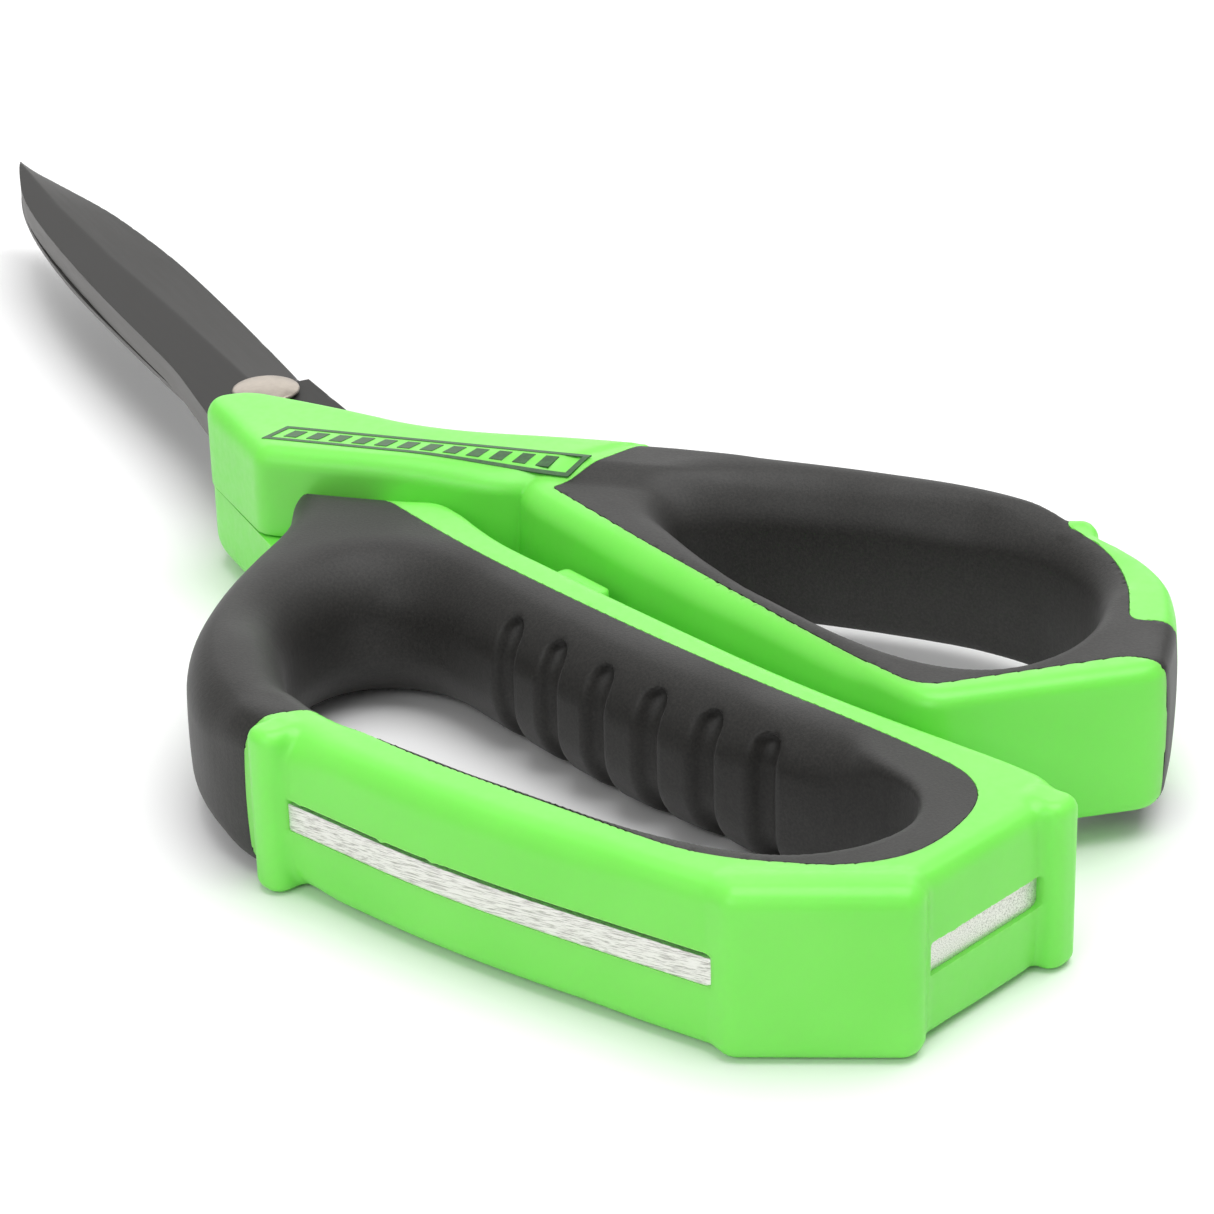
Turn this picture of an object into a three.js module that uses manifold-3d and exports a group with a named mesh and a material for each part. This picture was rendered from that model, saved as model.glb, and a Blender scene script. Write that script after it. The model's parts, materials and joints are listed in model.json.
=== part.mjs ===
// Heavy-duty garden shears, closed and lying flat: two steel blades on a bolt, each with a moulded handle.
// Millimetres, +Z up, blades pointing along +Y. The origin is under the middle of the whole shears.
import * as THREE from 'three';
import { mergeVertices } from 'three/addons/utils/BufferGeometryUtils.js';
import Module from 'manifold-3d';

const wasm = await Module();
wasm.setup();

// ---------- driving dimensions ----------
const GAP = 0.3; // clearance between neighbouring pieces
const STEEL = 3; // thickness of each blade and its tang
const HANDLE_HEIGHT = 19; // of each handle, from its underside to its top
const HANDLE_STEP = 3; // how much higher the upper handle sits
const EDGE_ROUND = 2.4; // chamfer radius on the handles' edges
const OVERCUT = 1; // how far a cut runs out past the faces that it opens

const LOWER = { bottom: 0, top: HANDLE_HEIGHT, steel: 7.85 };
const UPPER = { bottom: HANDLE_STEP, top: HANDLE_HEIGHT + HANDLE_STEP, steel: LOWER.steel + STEEL + GAP };
const SPLIT = LOWER.steel + STEEL + GAP / 2; // the level where the two heads slide on each other

const GRIP_SKIN = 1.1; // soft grip over the hard core's upright sides
const GRIP_CAP = 3.4; // and over its top and underside
const STRIP_DEPTH = 0.5; // how far the bare tang edge lies inside the handle's wall
const TANG_COVER = 1.9; // plastic between the tang and the handle's outside where the tang is covered
const TANG_INNER = 1.8; // between the tang and the finger opening

const BOLT_RADIUS = 3;
const BOLT_HEAD_RADIUS = 4.3;
const BOLT_HEAD_RISE = 1;
const BOLT_HEAD_RIM = 0.3; // upright part of the head's edge, below the dome
const BOLT_END = 0.5; // how far the shank stands out of the nut
const WASHER_RADIUS = 5.4;
const WASHER_THICK = 0.8;
const WASHER_SLIT = { width: 0.6, slant: 0.5 };
const NUT_RADIUS = 5.6; // across corners
const NUT_HEIGHT = 3;

const CURVE_STEPS = 5; // straight pieces in each rounded corner of an outline

// Distances from the pivot to the middle of the shears' plan, which is where the part's origin lies.
const PLAN_MIDDLE = { x: 12.975, y: -25.518 };

// ---------- outlines ----------
// Each corner is [x, y] from the pivot, or [x, y, cut]. It is rounded by a curve that leaves the sides `cut`
// before it, or at the middle of each side if it has no cut. A cut of 0 is a sharp corner.
const LOWER_OUTER = [
  [-10.4, -36.9, 2.5], [-15, -46.5], [-26, -55], [-36.8, -70.5], [-39.2, -86], [-33.8, -98.2],
  [-25.4, -118.3], [-9, -145.6, 2], [6.6, -154, 2], [27.8, -145.6, 4], [31.6, -141.4, 4], [18.7, -111.5, 12],
  [10.2, -83, 10], [4.6, -62, 5], [4.2, -49.2, 2.5],
];
const LOWER_OPENING = [
  [-29.3, -86], [-24, -68], [-14, -61.5], [-6, -65.5], [-2.9, -80], [3.2, -104], [18.5, -133],
  [14.5, -143], [1.5, -143.5], [-8.6, -134], [-19, -114], [-27.6, -95.5],
];
const LOWER_GRIP = [
  [-3.5, -40, 0], [-14, -28, 0], [-45, -40, 0], [-46, -91.5, 0], [-34, -91.2, 0], [-28.7, -92.6, 1],
  [-24.6, -105.5], [-17.2, -120], [-7.6, -138.5, 6], [4.6, -147.3, 5], [13.5, -147.8], [24.6, -139.8],
  [21.6, -127.5], [11.4, -101], [2, -69.5], [-1.6, -52.5],
];
const LOWER_HEAD = [
  [-13.4, -42, 0], [-13.4, -14.4, 4], [-6, -9.6, 3], [8, -11.5, 4], [12.6, -22, 5], [6.4, -52, 3],
];
const UPPER_OUTER = [
  [10.4, -53.8, 6], [14.2, -76], [25.8, -123.6, 3], [51.8, -129.1, 3], [60.8, -117.8], [65, -107.5],
  [62.9, -92.9], [58.6, -82.5], [49.6, -72], [33, -56], [16, -42, 4],
];
const UPPER_OPENING = [
  [20.8, -73], [25.6, -65.5], [34.8, -68.5], [46.4, -79.6], [57, -92.6], [58, -106], [48.5, -119.5],
  [34, -121.2], [25, -106],
];
const UPPER_GRIP = [
  [14.4, -56.7, 0.5], [18.2, -80], [25.5, -115], [27.2, -120.4, 3], [50, -124.5, 2], [58.6, -136, 0],
  [72, -127, 0], [54.2, -117.4, 2], [59.8, -108.5], [61.8, -100], [60.8, -93.6, 1.2], [71, -87, 0],
  [60, -40, 0], [40, -49.6, 0],
];
const UPPER_HEAD = [
  [-13.6, -13.6, 3], [-13.4, -33.6, 1.5], [11, -54.4, 5], [30.4, -53.4, 0], [23, -47], [8.6, -36.4],
  [1.6, -25.5], [-6.8, -14.4, 3],
];
const SPINE = [[0, 104.1, 0.2], [-2.4, 97.5], [-6.3, 82], [-7.8, 48], [-7.5, 14, 6]];
const EDGE = [[6.4, 5.6, 0.6], [7.3, 8.4, 0.6], [7.9, 28], [8.1, 60], [5.4, 88]];
const UPPER_NECK = [
  [-9, -4, 4], [-9, -24, 5], [3.4, -44, 4], [22, -60.5, 4], [29, -57, 4], [18, -44, 6], [7.6, -22, 6],
];
const LOWER_NECK = [
  [-9, -4, 4], [-8.5, -24, 5], [-1, -44, 4], [2, -62, 0], [13, -62, 0], [10, -48, 4], [7, -38, 4],
  [6.6, -22, 6],
];
const UPPER_BLADE = [...SPINE, ...UPPER_NECK, ...EDGE];
const LOWER_BLADE = mirrored([...SPINE, ...LOWER_NECK, ...EDGE]);
// Stations of the blade's bevel, [y, x of its upper side, x of the cutting edge], from the heel to the tip.
const BEVEL = [
  [6, -0.3, 7.3], [32, -0.8, 7.8], [58, -1.8, 7.8], [80, -1.8, 6.2], [97, -1, 3.2], [106, -0.6, 0.8],
];
const EDGE_THICK = 0.5; // steel left at the cutting edge

// ---------- what stands on the handles' walls ----------
// Where the tang's edge is bare: each window is an area in plan that the bare edge lies in.
const LOWER_WINDOWS = [
  [[-50, -96.8, 0], [-26, -96.8, 0], [-6, -140, 0], [-9.4, -145.2, 0], [-50, -145.2, 0]],
  [[10, -170, 0], [10, -146, 0], [27, -138, 0], [27, -170, 0]],
];
const UPPER_WINDOWS = [[[58, -94, 0], [80, -94, 0], [80, -111, 0], [58, -111, 0]]];
const HEEL_BLOCK = { x: 0.4, y: -148.2, along: 20.6, across: 6, angle: -0.485 };
const LEFT_RIB = { x: -34.2, y: -94.2, along: 4.6, across: 5.6, angle: -1.3 };
const RIGHT_RIB = { x: 28.2, y: -144, along: 4.8, across: 5.6, angle: 0.42 };
const THUMB_RIB = { x: 61.7, y: -95, along: 4.2, across: 4.4, angle: -1.45 };
const CLOSING_STOP = { x: 9.2, y: -73.6, along: 8, across: 4.6, angle: -1.33 };
const RIB_INSET = 0.4; // the ribs stop this far short of the handle's top and underside
const STOP_INSET = 2.5;
const BLOCK_ROUND = 1; // chamfer on the raised blocks' rims
const BLOCK_CORNER = 2; // their upright edges' rounding

function corner(point) {
  return new THREE.Vector2(point[0], point[1]);
}

/** A closed, counterclockwise line through `corners` with every corner rounded. */
function roundedOutline(corners) {
  const count = corners.length;
  const points = [];
  corners.forEach((place, i) => {
    const previous = corners[(i + count - 1) % count];
    const [before, here, after] = [previous, place, corners[(i + 1) % count]].map(corner);
    const cut = place[2] ?? Infinity;
    if (cut === 0) {
      points.push(here);
      return;
    }
    const start = here.clone().lerp(before, Math.min(0.5, cut / here.distanceTo(before)));
    const end = here.clone().lerp(after, Math.min(0.5, cut / here.distanceTo(after)));
    const curve = new THREE.QuadraticBezierCurve(start, here, end).getPoints(CURVE_STEPS);
    const joined = place[2] === undefined && previous[2] === undefined;
    points.push(...(joined ? curve.slice(1) : curve));
  });
  return THREE.ShapeUtils.isClockWise(points) ? points.reverse() : points;
}

/** Where the corner `here` of a counterclockwise line goes when its sides move out by `distance`. */
function movedOut(before, here, after, distance) {
  const came = here.clone().sub(before).normalize();
  const goes = after.clone().sub(here).normalize();
  const along = came.add(goes).normalize();
  const reach = distance / Math.max(0.5, along.dot(goes));
  return new THREE.Vector2(here.x + along.y * reach, here.y - along.x * reach);
}

/** Outline corners with their sides moved outwards by `distance`, or inwards if it is negative. */
function grown(corners, distance) {
  const count = corners.length;
  const turn = THREE.ShapeUtils.isClockWise(corners.map(corner)) ? -1 : 1;
  return corners.map((here, i) => {
    const before = corner(corners[(i + count - 1) % count]);
    const after = corner(corners[(i + 1) % count]);
    const moved = movedOut(before, corner(here), after, distance * turn);
    return [moved.x, moved.y, ...here.slice(2)];
  });
}

/** A finished, counterclockwise line moved outwards by `distance`. */
function grownLine(points, distance) {
  const count = points.length;
  return points.map((here, i) => {
    return movedOut(points[(i + count - 1) % count], here, points[(i + 1) % count], distance);
  });
}

function mirrored(corners) {
  return corners.map(([x, y, ...cut]) => [-x, y, ...cut]);
}

// ---------- solids ----------
function toSolid(geometry) {
  geometry.deleteAttribute('normal');
  geometry.deleteAttribute('uv');
  const merged = mergeVertices(geometry, 1e-4);
  const mesh = new wasm.Mesh({
    numProp: 3,
    vertProperties: new Float32Array(merged.attributes.position.array),
    triVerts: new Uint32Array(merged.index.array),
  });
  return new wasm.Manifold(mesh);
}

/** A flat-ended prism over `points`, from `low` to `high`. */
function prism(points, low, high) {
  const shape = new THREE.Shape(points);
  const geometry = new THREE.ExtrudeGeometry(shape, { depth: high - low, bevelEnabled: false });
  return toSolid(geometry.translate(0, 0, low));
}

/** A prism over an outline's corners with its two rims rounded off in two steps. */
function softPrism(corners, low, high, round = EDGE_ROUND) {
  const steps = [[0, 1], [1 - Math.SQRT1_2, 1 - Math.SQRT1_2], [1, 0]];
  const rims = steps.map(([rise, inset]) => ({
    points: roundedOutline(grown(corners, -round * inset)),
    rise: round * rise,
  }));
  const lower = rims.map(({ points, rise }) => ({ points, z: low + rise }));
  const upper = rims.map(({ points, rise }) => ({ points, z: high - rise })).reverse();
  return loft([...lower, ...upper]);
}

/** What to cut away for an opening with rounded rims. */
function softHole(points, low, high) {
  const wide = grownLine(points, EDGE_ROUND);
  const middle = prism(points, low - OVERCUT, high + OVERCUT);
  const below = flare(points, wide, low, 1);
  const above = flare(points, wide, high, -1);
  return middle.add(below).add(above);
}

/** The chamfer of a hole's rim at `level`: wide at the face, narrow EDGE_ROUND inside it. */
function flare(points, wide, level, inwards) {
  const rings = [
    { points: wide, z: level - inwards * OVERCUT },
    { points: wide, z: level },
    { points, z: level + inwards * EDGE_ROUND },
  ];
  if (inwards < 0) rings.reverse();
  return loft(rings);
}

/** A closed solid through rings of equal point counts, lowest ring first. */
function loft(rings) {
  const count = rings[0].points.length;
  const positions = rings.flatMap((ring) => ring.points.flatMap((p) => [p.x, p.y, ring.z]));
  const index = [];
  for (let r = 0; r + 1 < rings.length; r += 1) {
    for (let i = 0; i < count; i += 1) {
      const j = (i + 1) % count;
      const [a, b] = [r * count + i, r * count + j];
      index.push(a, b, b + count, a, b + count, a + count);
    }
  }
  for (const [r, flip] of [[0, true], [rings.length - 1, false]]) {
    for (const [a, b, c] of THREE.ShapeUtils.triangulateShape(rings[r].points, [])) {
      const face = [r * count + a, r * count + b, r * count + c];
      index.push(...(flip ? face.reverse() : face));
    }
  }
  const geometry = new THREE.BufferGeometry();
  geometry.setAttribute('position', new THREE.Float32BufferAttribute(positions, 3));
  geometry.setIndex(index);
  return toSolid(geometry);
}

function turned(profile, segments) {
  const points = profile.map(([r, z]) => new THREE.Vector2(r, z));
  return toSolid(new THREE.LatheGeometry(points, segments).rotateX(Math.PI / 2));
}

/** A block with rounded upright edges, `along` x `across` in plan, turned by `angle` about Z. */
function block(x, y, along, across, angle, low, high) {
  const [a, b] = [along / 2, across / 2];
  const middle = new THREE.Vector2();
  const corners = [[-a, -b], [a, -b], [a, b], [-a, b]].map((place) => {
    const turned = corner(place).rotateAround(middle, angle);
    return [x + turned.x, y + turned.y, BLOCK_CORNER];
  });
  return softPrism(corners, low, high, BLOCK_ROUND);
}

// ---------- handles ----------
/** The whole bow of a handle, hard and soft parts together. */
function bow(outer, opening, side) {
  const body = softPrism(outer, side.bottom, side.top);
  return body.subtract(softHole(roundedOutline(opening), side.bottom, side.top));
}

/** The ring of the hard core inside the soft grip, as a solid `slack` larger than it all round. */
function skeleton(outer, opening, side, slack) {
  const [skin, cap] = [GRIP_SKIN - slack, GRIP_CAP - slack];
  const ring = prism(roundedOutline(grown(outer, -skin)), side.bottom + cap, side.top - cap);
  return ring.subtract(prism(roundedOutline(grown(opening, skin)), side.bottom, side.top));
}

/** The ring of the tang inside a bow, as a solid `slack` larger than the steel all round. */
function tangRing(outer, opening, side, windows, slack) {
  const [low, high] = [side.steel - slack, side.steel + STEEL + slack];
  const hole = prism(roundedOutline(grown(opening, TANG_INNER - slack)), low - OVERCUT, high + OVERCUT);
  const covered = prism(roundedOutline(grown(outer, slack - TANG_COVER)), low, high);
  const bare = prism(roundedOutline(grown(outer, slack > 0 ? OVERCUT : -STRIP_DEPTH)), low, high);
  const shown = windows.map((w) => bare.intersect(prism(roundedOutline(grown(w, slack)), low, high)));
  return shown.reduce((all, one) => all.add(one), covered).subtract(hole);
}

/** A raised block on a handle's wall. */
function raised({ x, y, along, across, angle }, side, inset) {
  return block(x, y, along, across, angle, side.bottom + inset, side.top - inset);
}

/** The tang with its neck: everything of the steel that is behind the pivot. */
function tang(outer, opening, side, windows, neck, slack) {
  const [low, high] = [side.steel - slack, side.steel + STEEL + slack];
  const hole = prism(roundedOutline(grown(opening, TANG_INNER - slack)), low - OVERCUT, high + OVERCUT);
  const joined = prism(roundedOutline(grown(neck, slack)), low, high).subtract(hole);
  return tangRing(outer, opening, side, windows, slack).add(joined);
}

/** A handle's hard core and soft grip around its tang. */
function handle({ outer, opening, grip, head, headLow, headHigh, side, slot, raisedBlocks }) {
  const all = bow(outer, opening, side);
  const [low, high] = [side.bottom - OVERCUT, side.top + OVERCUT];
  const headPiece = softPrism(head, headLow, headHigh);
  const headRoom = prism(roundedOutline(grown(head, GAP)), headLow - GAP, headHigh + GAP);
  const inner = skeleton(outer, opening, side, 0).add(headPiece);
  const around = skeleton(outer, opening, side, GAP).add(headRoom);
  const hard = all.subtract(prism(roundedOutline(grown(grip, GAP)), low, high));
  const core = raisedBlocks.reduce((sum, one) => sum.add(one), hard.add(inner)).subtract(slot);
  const touching = raisedBlocks.reduce((sum, one) => sum.add(one), around.add(slot));
  const cover = all.intersect(prism(roundedOutline(grip), low, high)).subtract(touching);
  return { core: mainPiece(core), cover: mainPiece(cover) };
}

/** The largest of the separate bodies that a cut can leave. */
function mainPiece(solid) {
  return solid.decompose().sort((a, b) => b.volume() - a.volume())[0];
}

// ---------- steel ----------
/** The wedge that is ground off a blade's outer face, one section at each station of the bevel. */
function bevelWedge() {
  const far = 4; // the wedge reaches this far out past the cutting edge
  const sections = BEVEL.map(([y, ridge, edge]) => {
    const slope = (STEEL - EDGE_THICK) / (edge - ridge);
    const drop = STEEL - slope * (edge + far - ridge);
    const above = STEEL + OVERCUT;
    const section = [[ridge, STEEL], [edge + far, drop], [edge + far, above], [ridge, above]];
    return section.map(([x, z]) => [x, y, z]);
  });
  const index = [];
  for (let s = 0; s + 1 < sections.length; s += 1) {
    for (let i = 0; i < 4; i += 1) {
      const [a, b] = [4 * s + i, 4 * s + ((i + 1) % 4)];
      index.push(a, a + 4, b + 4, a, b + 4, b);
    }
  }
  const last = 4 * (sections.length - 1);
  index.push(0, 1, 2, 0, 2, 3, last, last + 2, last + 1, last, last + 3, last + 2);
  const geometry = new THREE.BufferGeometry();
  geometry.setAttribute('position', new THREE.Float32BufferAttribute(sections.flat(2), 3));
  geometry.setIndex(index);
  return geometry;
}

/** A blade with its tang ring. The lower one is ground like the upper one turned over about the Y axis. */
function blade(side, turnedOver, outline, opening, ring) {
  const placement = new THREE.Matrix4().makeRotationY(turnedOver ? Math.PI : 0);
  placement.setPosition(0, 0, turnedOver ? side.steel + STEEL : side.steel);
  const plate = prism(roundedOutline(outline), side.steel, side.steel + STEEL);
  const [low, high] = [side.steel - OVERCUT, side.steel + STEEL + OVERCUT];
  const inside = prism(roundedOutline(grown(opening, TANG_INNER)), low, high);
  const wedge = toSolid(bevelWedge().applyMatrix4(placement));
  const hole = upright(BOLT_RADIUS + GAP, low, high);
  return mainPiece(plate.subtract(inside).subtract(wedge).add(ring).subtract(hole));
}

/** An upright cylinder on the pivot, with 40 sides unless told otherwise. */
function upright(radius, low, high, sides = 40) {
  const geometry = new THREE.CylinderGeometry(radius, radius, high - low, sides);
  return toSolid(geometry.rotateX(Math.PI / 2).translate(0, 0, (low + high) / 2));
}

/** The bolt: a low domed head on a plain shank. */
function bolt(headLow, end) {
  const rim = headLow + BOLT_HEAD_RIM;
  const rise = BOLT_HEAD_RISE - BOLT_HEAD_RIM;
  const steps = 6;
  const dome = [];
  for (let i = 0; i < steps; i += 1) {
    const turn = (i / steps) * (Math.PI / 2);
    dome.push([BOLT_HEAD_RADIUS * Math.cos(turn), rim + rise * Math.sin(turn)]);
  }
  dome.push([0, rim + rise]);
  const shank = [[0, end], [BOLT_RADIUS, end], [BOLT_RADIUS, headLow]];
  return turned([...shank, [BOLT_HEAD_RADIUS, headLow], ...dome], 48);
}

/** A spring washer: a ring with one slanted slit. */
function springWasher(low) {
  const high = low + WASHER_THICK;
  const hole = upright(BOLT_RADIUS + GAP, low - OVERCUT, high + OVERCUT);
  const slit = new THREE.BoxGeometry(WASHER_RADIUS, WASHER_SLIT.width, WASHER_RADIUS);
  slit.rotateX(WASHER_SLIT.slant).translate(WASHER_RADIUS / 2 + BOLT_RADIUS - OVERCUT, 0, (low + high) / 2);
  return upright(WASHER_RADIUS, low, high).subtract(hole).subtract(toSolid(slit));
}

function nut(low) {
  const high = low + NUT_HEIGHT;
  const hole = upright(BOLT_RADIUS + GAP, low - OVERCUT, high + OVERCUT);
  return upright(NUT_RADIUS, low, high, 6).subtract(hole);
}

// ---------- the shears ----------
const LIME = { color: 0x6fe64a, roughness: 0.4, metalness: 0 };
const SOFT_GREY = { color: 0x3b3a38, roughness: 0.85, metalness: 0 };
const COATED_STEEL = { color: 0x55534f, roughness: 0.45, metalness: 0.7 };
const BRIGHT_STEEL = { color: 0xcdbfae, roughness: 0.25, metalness: 1 };

function named(name, solid, look) {
  const found = solid.getMesh();
  const geometry = new THREE.BufferGeometry();
  geometry.setAttribute('position', new THREE.BufferAttribute(new Float32Array(found.vertProperties), 3));
  geometry.setIndex(new THREE.BufferAttribute(new Uint32Array(found.triVerts), 1));
  geometry.computeVertexNormals();
  const mesh = new THREE.Mesh(geometry, new THREE.MeshStandardMaterial(look));
  mesh.name = name;
  return mesh;
}

const lower = handle({
  outer: LOWER_OUTER,
  opening: LOWER_OPENING,
  grip: LOWER_GRIP,
  head: LOWER_HEAD,
  headLow: LOWER.bottom,
  headHigh: SPLIT - GAP / 2,
  side: LOWER,
  slot: tang(LOWER_OUTER, LOWER_OPENING, LOWER, LOWER_WINDOWS, LOWER_BLADE, GAP),
  raisedBlocks: [
    raised(HEEL_BLOCK, LOWER, 0),
    raised(LEFT_RIB, LOWER, RIB_INSET),
    raised(RIGHT_RIB, LOWER, RIB_INSET),
    raised(CLOSING_STOP, LOWER, STOP_INSET),
  ],
});
const upper = handle({
  outer: UPPER_OUTER,
  opening: UPPER_OPENING,
  grip: UPPER_GRIP,
  head: UPPER_HEAD,
  headLow: SPLIT + GAP / 2,
  headHigh: UPPER.top,
  side: UPPER,
  slot: tang(UPPER_OUTER, UPPER_OPENING, UPPER, UPPER_WINDOWS, UPPER_BLADE, GAP),
  raisedBlocks: [raised(THUMB_RIB, UPPER, RIB_INSET)],
});
const lowerRing = tangRing(LOWER_OUTER, LOWER_OPENING, LOWER, LOWER_WINDOWS, 0);
const upperRing = tangRing(UPPER_OUTER, UPPER_OPENING, UPPER, UPPER_WINDOWS, 0);
const lowerBlade = blade(LOWER, true, LOWER_BLADE, LOWER_OPENING, lowerRing);
const upperBlade = blade(UPPER, false, UPPER_BLADE, UPPER_OPENING, upperRing);

const washerLow = LOWER.steel - GAP - WASHER_THICK;
const nutLow = washerLow - GAP - NUT_HEIGHT;
const headLow = UPPER.steel + STEEL + GAP;

const shears = new THREE.Group();
shears.add(
  named('lower_blade', lowerBlade, COATED_STEEL),
  named('upper_blade', upperBlade, COATED_STEEL),
  named('pivot_bolt', bolt(headLow, nutLow - BOLT_END), BRIGHT_STEEL),
  named('spring_washer', springWasher(washerLow), BRIGHT_STEEL),
  named('pivot_nut', nut(nutLow), BRIGHT_STEEL),
  named('lower_handle_core', lower.core, LIME),
  named('lower_handle_grip', lower.cover, SOFT_GREY),
  named('upper_handle_core', upper.core, LIME),
  named('upper_handle_grip', upper.cover, SOFT_GREY),
);
shears.position.set(-PLAN_MIDDLE.x, -PLAN_MIDDLE.y, 0);

export default shears;
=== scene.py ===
"""Garden shears: the visual model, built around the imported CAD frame.

Shapes are written in millimetres from the pivot, as signed distance fields, and turned into meshes in metres.
"""

import json
import math

import bpy
import numpy as np
from mathutils import Matrix, Vector

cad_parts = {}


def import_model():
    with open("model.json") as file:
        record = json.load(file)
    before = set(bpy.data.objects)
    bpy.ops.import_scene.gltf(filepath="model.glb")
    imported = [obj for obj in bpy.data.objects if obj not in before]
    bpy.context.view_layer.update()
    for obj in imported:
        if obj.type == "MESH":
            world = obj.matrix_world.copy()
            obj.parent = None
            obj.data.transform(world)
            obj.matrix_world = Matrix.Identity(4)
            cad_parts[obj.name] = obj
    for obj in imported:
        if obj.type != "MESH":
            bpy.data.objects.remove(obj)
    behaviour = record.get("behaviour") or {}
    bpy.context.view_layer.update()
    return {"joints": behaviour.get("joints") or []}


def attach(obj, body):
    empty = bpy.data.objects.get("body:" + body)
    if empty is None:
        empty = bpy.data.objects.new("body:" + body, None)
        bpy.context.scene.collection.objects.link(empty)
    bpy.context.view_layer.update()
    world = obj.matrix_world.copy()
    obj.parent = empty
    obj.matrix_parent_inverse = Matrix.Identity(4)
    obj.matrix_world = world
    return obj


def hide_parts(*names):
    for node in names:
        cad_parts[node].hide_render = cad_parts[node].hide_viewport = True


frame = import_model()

PIVOT = np.array(frame["joints"][0]["pos_m"][:2] + [0.0])
STEP = 0.42  # spacing of the grid that the handles are contoured on
PLAN_STEP = 0.25  # spacing of the looked-up plan distances

# ---------- heights ----------
STEEL = 3.0
LOW_STEEL = 7.85  # underside of the lower blade
HIGH_STEEL = 11.15  # underside of the upper blade
LOWER = {"low": 0.0, "high": 19.0, "steel": LOW_STEEL}
UPPER = {"low": 3.0, "high": 22.0, "steel": HIGH_STEEL}
SPLIT = 11.0
SPLIT_GAP = 0.3
SEAM = 0.03  # half the gap between the hard and the soft plastic

# ---------- outlines ----------
# Corners [x, y] or [x, y, cut] from the pivot, rounded as in the CAD part: the curve leaves the sides `cut`
# before the corner, or at their middles, and a cut of 0 is sharp.
LOWER_OUTER = [
    [-10.4, -36.9, 2.5], [-15, -46.5], [-26, -55], [-36.8, -70.5], [-39.2, -86], [-33.8, -98.2],
    [-25.4, -118.3], [-9, -145.6, 2], [6.6, -154, 2], [27.8, -145.6, 4], [31.6, -141.4, 4],
    [18.7, -111.5, 12], [10.2, -83, 10], [4.6, -62, 5], [4.2, -49.2, 2.5],
]
LOWER_OPENING = [
    [-29.3, -86], [-24, -68], [-14, -61.5], [-6, -65.5], [-2.9, -80], [3.2, -104], [18.5, -133],
    [14.5, -143], [1.5, -143.5], [-8.6, -134], [-19, -114], [-27.6, -95.5],
]
LOWER_GRIP = [
    [-3.5, -40, 0], [-14, -28, 0], [-45, -40, 0], [-46, -91.5, 0], [-34, -91.2, 0], [-28.7, -92.6, 1],
    [-24.6, -105.5], [-17.2, -120], [-7.6, -138.5, 6], [4.6, -147.3, 5], [13.5, -147.8], [24.6, -139.8],
    [21.6, -127.5], [11.4, -101], [2, -69.5], [-1.6, -52.5],
]
LOWER_HEAD = [
    [-13.4, -42, 0], [-13.4, -14.4, 4], [-6, -9.6, 3], [8, -11.5, 4], [12.6, -22, 5], [6.4, -52, 3],
]
UPPER_OUTER = [
    [10.4, -53.8, 6], [14.2, -76], [25.8, -123.6, 3], [51.8, -129.1, 3], [60.8, -117.8], [65, -107.5],
    [62.9, -92.9], [58.6, -82.5], [49.6, -72], [33, -56], [16, -42, 4],
]
UPPER_OPENING = [
    [20.8, -73], [25.6, -65.5], [34.8, -68.5], [46.4, -79.6], [57, -92.6], [58, -106], [48.5, -119.5],
    [34, -121.2], [25, -106],
]
UPPER_GRIP = [
    [14.4, -56.7, 0.5], [18.2, -80], [25.5, -115], [27.2, -120.4, 3], [50, -124.5, 2], [58.6, -136, 0],
    [72, -127, 0], [54.2, -117.4, 2], [59.8, -108.5], [61.8, -100], [60.8, -93.6, 1.2], [71, -87, 0],
    [60, -40, 0], [40, -49.6, 0],
]
UPPER_HEAD = [
    [-13.6, -13.6, 5], [-13.4, -33.6, 1.5], [11, -54.4, 5], [30.4, -53.4, 0], [23, -47], [8.6, -36.4],
    [1.6, -25.5], [-6.8, -14.4, 3],
]
SPINE = [[0, 104.1, 0.2], [-2.4, 97.5], [-6.3, 82], [-7.8, 48], [-7.5, 14, 6]]
EDGE = [[6.4, 5.6, 0.6], [7.3, 8.4, 0.6], [7.9, 28], [8.1, 60], [5.4, 88]]
UPPER_NECK = [
    [-9, -4, 4], [-9, -24, 5], [3.4, -44, 4], [22, -60.5, 4], [29, -57, 4], [18, -44, 6], [7.6, -22, 6],
]
LOWER_NECK = [
    [-9, -4, 4], [-8.5, -24, 5], [-1, -44, 4], [2, -62, 0], [13, -62, 0], [10, -48, 4], [7, -38, 4],
    [6.6, -22, 6],
]
# Stations of the bevel: y, x of its upper side, x of the cutting edge.
BEVEL = np.array(
    [[6, -0.3, 7.3], [32, -0.8, 7.8], [58, -1.8, 7.8], [80, -1.8, 6.2], [97, -1, 3.2], [106, -0.6, 0.8]]
)
EDGE_THICK = 0.5
BLADE_CLOSING = 0.13  # each blade is this much thicker than in CAD, towards the other one

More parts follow.
